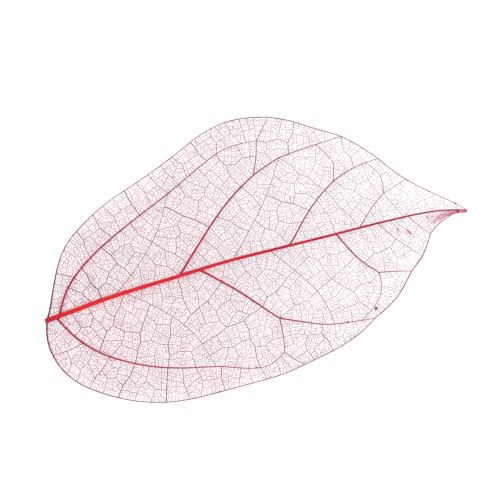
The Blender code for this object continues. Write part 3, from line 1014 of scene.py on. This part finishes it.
# %% Rolled edge
ROLL_PATH = [
    (82.5, -0.8), (83.5, -0.05), (84.6, 0.37), (85.8, 0.67), (87, 0.73), (88.4, 0.52), (89.9, 0.1)]
ROLL_RADII = (0.45, 0.48, 0.5, 0.5, 0.46, 0.38, 0.28)
ROLL_FROM, ROLL_TO = math.radians(-80), math.radians(330)
ROLL_SHRINK = 0.3
ROLL_DEPTH = 2.4 * MM
ROLL_START = 0.15
ROLL_CELLS = 190
ROLL_SEED = 4
ROLL_STEP = 0.16 * MM
ROLL_AHEAD = 0.03
ROLL_THICKER = (1.3, 1.35, 1.55, 1.9, 1.95)
ROLL_EDGE_WIDTH = 0.06
CRUMPLE = 0.4
CRUMPLE_LENGTH = 0.9 * MM

roll_length = sum(math.dist(a, b) for a, b in zip(ROLL_PATH, ROLL_PATH[1:])) * MM
print("the roll is", round(roll_length / MM, 1), "mm long")


def along_roll(share, rows):
    """The value at this share of the roll, from rows that stand evenly spaced along it."""
    return interpolate(list(enumerate(rows)), clamped(share) * (len(rows) - 1))


def roll_axis(share):
    """The point at this share of the roll's path."""
    return Vector([along_roll(share, rows) for rows in zip(*ROLL_PATH)] + [0])


def roll_point(place):
    """Where a point of the flat strip comes to lie on the roll. Angle zero is straight down."""
    share, depth = place.x / roll_length, place.y / ROLL_DEPTH
    forward = (roll_axis(share + ROLL_AHEAD) - roll_axis(share - ROLL_AHEAD)).normalized()
    aside = Vector((forward.y, -forward.x, 0))
    angle = ROLL_FROM + (ROLL_TO - ROLL_FROM) * depth
    radius = along_roll(share, ROLL_RADII) * (1 - ROLL_SHRINK * depth)
    radius *= 1 + CRUMPLE * noise.noise(place / CRUMPLE_LENGTH)
    from_axis = aside * math.sin(angle) - Vector((0, 0, math.cos(angle)))
    return (roll_axis(share) + from_axis * radius) * MM


def wound(path, width):
    """A chain of this width along the path on the roll, with points close enough to go round."""
    flat = [path[0]]
    for a, b in zip(path, path[1:]):
        steps = math.ceil((b - a).length / ROLL_STEP)
        flat += [a.lerp(b, (step + 1) / steps) for step in range(steps)]
    return [roll_point(place) for place in flat], [width] * len(flat)


# %% The strip of net on the roll
strip = flat_net()
strip_pull, _ = layers_of(strip)
corners = [Vector(place) for place in (
    (0, 0, 0), (roll_length, 0, 0), (roll_length, ROLL_DEPTH, 0), (0, ROLL_DEPTH * ROLL_START, 0))]
strip.faces.new([strip.verts.new(corner) for corner in corners])
for edge in strip.edges:
    edge[strip_pull] = MAIN_PULL
grow_net(strip, ROLL_CELLS, random.Random(ROLL_SEED), lambda face: 1)
relax(strip, FINE_STRAIGHT)
roll_chains = [wound([corners[a], corners[b]], ROLL_EDGE_WIDTH) for a, b in ((3, 2), (0, 1))]
rng = random.Random(ROLL_SEED)
for number, edges in edges_by_vein(strip).items():
    if number:
        path = in_order(edges)
        thicker = along_roll(path[0].x / roll_length, ROLL_THICKER)
        luck = math.exp(rng.gauss(0, FINE_SPREAD))
        width = net_width(edges[0][strip_pull], LENGTH) * thicker * luck
        roll_chains.append(wound(path, width))
strip.free()
rolled_edge = swept("rolled_edge", roll_chains, edge_finish)

# %% Cross veins and the fine net
def side_of(chain):
    """Whether a chain lies on the upper side of the midrib."""
    middle = chain[0][len(chain[0]) // 2]
    return middle.y / MM > interpolate(MIDRIB, middle.x / MM)


cross_veins = swept("cross_veins", cross_chains, thread_finish, sides=6, unevenness=0.4)
nets = [
    swept(name, [chain for chain in fine_chains if side_of(chain) == side], thread_finish)
    for name, side in (("fine_net_lower", False), ("fine_net_upper", True))
]
free_ends = swept("free_veinlets", free_chains, thread_finish)

# %% [markdown]
# ## Knots and flecks
#
# Here and there a bit of tissue or a hard cell stayed behind. The leaf in the photo shows a dark
# knot near the lower margin and smaller ones near the tip, two short crimson dashes, and dots where
# veins meet. Each is a small lump that was dyed darker. They could be painted on by a spotted
# texture, but they stand out from veins thinner than themselves. So they are one lump, repeated:
# a tree puts a copy on each point, stretched and turned by what the point says.

# %% Fleck tree
def fleck_tree():
    """Points in, one stretched lump on each out."""
    tree, given, names = start_tree(
        "flecks", Roundness="Int", Lumpiness="Float", Finish="Material")
    add = functools.partial(node, tree)
    lump = add("GeometryNodeMeshIcoSphere", Radius=1.0, Subdivisions=given["Roundness"])
    rotation = add("FunctionNodeEulerToRotation", Euler=kept(tree, "turn"))
    copies = add("GeometryNodeInstanceOnPoints", Points=given["Geometry"], Instance=lump,
                 Rotation=rotation, Scale=kept(tree, "size"))
    real = add("GeometryNodeRealizeInstances", Geometry=copies)
    bumps = add("ShaderNodeTexNoise", Scale=4000.0, Detail=1.0).outputs["Color"]
    centred = math_node(tree, "SUBTRACT", bumps, (0.5, 0.5, 0.5), "ShaderNodeVectorMath")
    push = add("ShaderNodeVectorMath", {"operation": "SCALE"}, Scale=given["Lumpiness"],
               Vector=centred)
    rough = add("GeometryNodeSetPosition", Geometry=real, Offset=push)
    end_tree(tree, rough, given["Finish"])
    return tree, names


FLECK_TREE, FLECK_INPUTS = fleck_tree()
print("fleck tree:", len(FLECK_TREE.nodes), "nodes")

# %% Where the flecks lie
# Place, half sizes along, across and up, and turn, in millimetres and degrees
KNOTS = [
    ((66.8, -14.7), (0.36, 0.29, 0.16), 20), ((87.9, 2.3), (0.25, 0.16, 0.1), -40),
    ((31.0, -23.35), (0.3, 0.17, 0.12), 5), ((39.7, -20.4), (0.27, 0.18, 0.12), -20),
    ((60.4, -16.0), (0.27, 0.17, 0.12), -5), ((81.6, 1.05), (0.16, 0.12, 0.08), 10),
    ((81.9, 0.75), (0.13, 0.1, 0.07), 60), ((82.7, 0.95), (0.15, 0.11, 0.08), -30),
]
DASHES = [((77.3, -1.05), (0.9, 0.16, 0.12), -59), ((75.1, -0.05), (0.5, 0.1, 0.09), -78)]

DOT_COUNT = 1000
DOT_SEED = 17
DOT_HALF_WIDTH = (0.04 * MM, 0.085 * MM)
DOT_STRETCH = (1.1, 2.2)
DOT_HEIGHT = 0.6

knots, dashes = [
    [(Vector((x * MM, y * MM, 0)), [value * MM for value in size], (0, 0, math.radians(angle)))
     for (x, y), size, angle in rows]
    for rows in (KNOTS, DASHES)
]
all_chains = cross_chains + fine_chains + main_chains + margin_veins
junctions = [point for path, _ in all_chains for point in path]
rng = random.Random(DOT_SEED)
dots = []
for point in rng.sample(junctions, DOT_COUNT):
    width = rng.uniform(*DOT_HALF_WIDTH)
    size = [width * rng.uniform(*DOT_STRETCH), width, width * DOT_HEIGHT]
    dots.append((point, size, (0, 0, rng.uniform(0, math.pi))))
print(len(knots), "knots,", len(dashes), "dashes and", len(dots), "dots")

# %% Dark flecks
def fleck_finish(name, dark, light):
    """Dyed tissue, mottled from dark to light, and dull."""
    material, tree, shader = new_material(name)
    place = node(tree, "ShaderNodeTexCoord").outputs["Object"]
    grain = node(tree, "ShaderNodeTexNoise", Vector=place, Scale=3000.0, Detail=3.0)
    bump = node(tree, "ShaderNodeBump", Strength=0.6, Distance=0.03 * MM, Height=grain)
    feed(tree, shader, {
        "Base Color": ramp(tree, grain, [(0.35, dark), (0.65, light)]),
        "Roughness": spread(tree, grain, 0.0, 1.0, 0.6, 0.9), "Normal": bump})
    return material


def lumps(name, rows, roundness, lumpiness, finish):
    """One piece with a lump for each row of flat place, half sizes and turn."""
    places, sizes, turns = zip(*rows)
    mesh = bpy.data.meshes.new(name + "_points")
    mesh.from_pydata([lifted(place, size[2]) for place, size in zip(places, sizes)], [], [])
    for title, values in (("size", sizes), ("turn", turns)):
        layer = mesh.attributes.new(title, "FLOAT_VECTOR", "POINT")
        layer.data.foreach_set("vector", [value for row in values for value in row])
    return made_by_tree(name, mesh, FLECK_TREE, FLECK_INPUTS, {
        "Roundness": roundness, "Lumpiness": lumpiness, "Finish": finish})


flecks = [
    lumps("dark_knots", knots, roundness=3, lumpiness=0.12 * MM, finish=fleck_finish(
        "dark_tissue", (0.05, 0.006, 0.015), (0.24, 0.012, 0.05))),
    lumps("crimson_dashes", dashes, roundness=3, lumpiness=0.05 * MM, finish=fleck_finish(
        "crimson_tissue", (0.26, 0.008, 0.06), (0.5, 0.012, 0.14))),
    lumps("junction_dots", dots, roundness=1, lumpiness=0.05 * MM, finish=fleck_finish(
        "dyed_tissue", (0.12, 0.008, 0.04), (0.3, 0.012, 0.1))),
]

# %% [markdown]
# ## Joining the pieces to the model
#
# All the pieces are one leaf, so they all ride on the model's only body and together stand for its
# one solid.

# %% Ride and replace
pieces = [ribs, margin_piece, rolled_edge, cross_veins, *nets, free_ends, *flecks]
for piece in pieces:
    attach(piece, "root")
    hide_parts("skeleton_leaf")
blade.free()
print(len(pieces), "pieces,", sum(len(piece.data.polygons) for piece in pieces), "faces")

# %% [markdown]
# ## Floor, light and camera
#
# The photo was taken from straight above on plain white, with light from all sides and no shadow.
# A white world gives that light, and one large soft lamp adds just enough direction for the ribs
# to look round. The camera looks straight down, turned so that the leaf points up to the right as
# it does in the photo, and it stands closer, so that the fine net shows.

# %% White floor
FLOOR_DROP = 0.02 * MM

# A square of four by four metres, a hair below the leaf
corners = [(x, y, -FLOOR_DROP) for x, y in ((-2, -2), (2, -2), (2, 2), (-2, 2))]
floor_mesh = bpy.data.meshes.new("floor")
floor_mesh.from_pydata(corners, [], [(0, 1, 2, 3)])
paper, tree, shader = new_material("white_paper")
feed(tree, shader, {
    "Base Color": (0.93, 0.93, 0.93, 1), "Roughness": 0.95, "Specular IOR Level": 0.0})
floor_mesh.materials.append(paper)
floor = new_object("floor", floor_mesh)
floor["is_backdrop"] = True
print("floor", FLOOR_DROP / MM, "mm under the leaf")

# %% Soft light
world = bpy.data.worlds.new("soft_white")
world.use_nodes = True
sky = world.node_tree.nodes["Background"]
feed(world.node_tree, sky, {"Color": (1, 1, 1, 1), "Strength": 1.15})
bpy.context.scene.world = world

lamp_data = bpy.data.lights.new("soft_lamp", "SUN")
lamp_data.angle = math.radians(32)
lamp_data.energy = 1.3
lamp = new_object("soft_lamp", lamp_data)
lamp.location = (-0.04, 0.07, 0.8)
lamp.rotation_euler = (-lamp.location.normalized()).to_track_quat("-Z", "Y").to_euler()
bpy.context.scene.view_settings.view_transform = "Standard"
print("lamp", round(math.degrees(lamp_data.angle)), "degrees wide")

# %% Camera
CAMERA_TURN = math.radians(14.5)
LENS = 200.0
SENSOR = 36.0
SHOWN = 104 * MM

low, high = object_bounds()
middle = (low + high) / 2
camera_data = bpy.data.cameras.new("camera")
camera_data.lens = LENS
camera_data.sensor_width = SENSOR
camera = new_object("camera", camera_data)
camera.location = (middle.x, middle.y, SHOWN * LENS / SENSOR)
camera.rotation_euler = (0, 0, -CAMERA_TURN)
bpy.context.scene.camera = camera
print("camera", round(camera.location.z / MM), "mm above the surface")
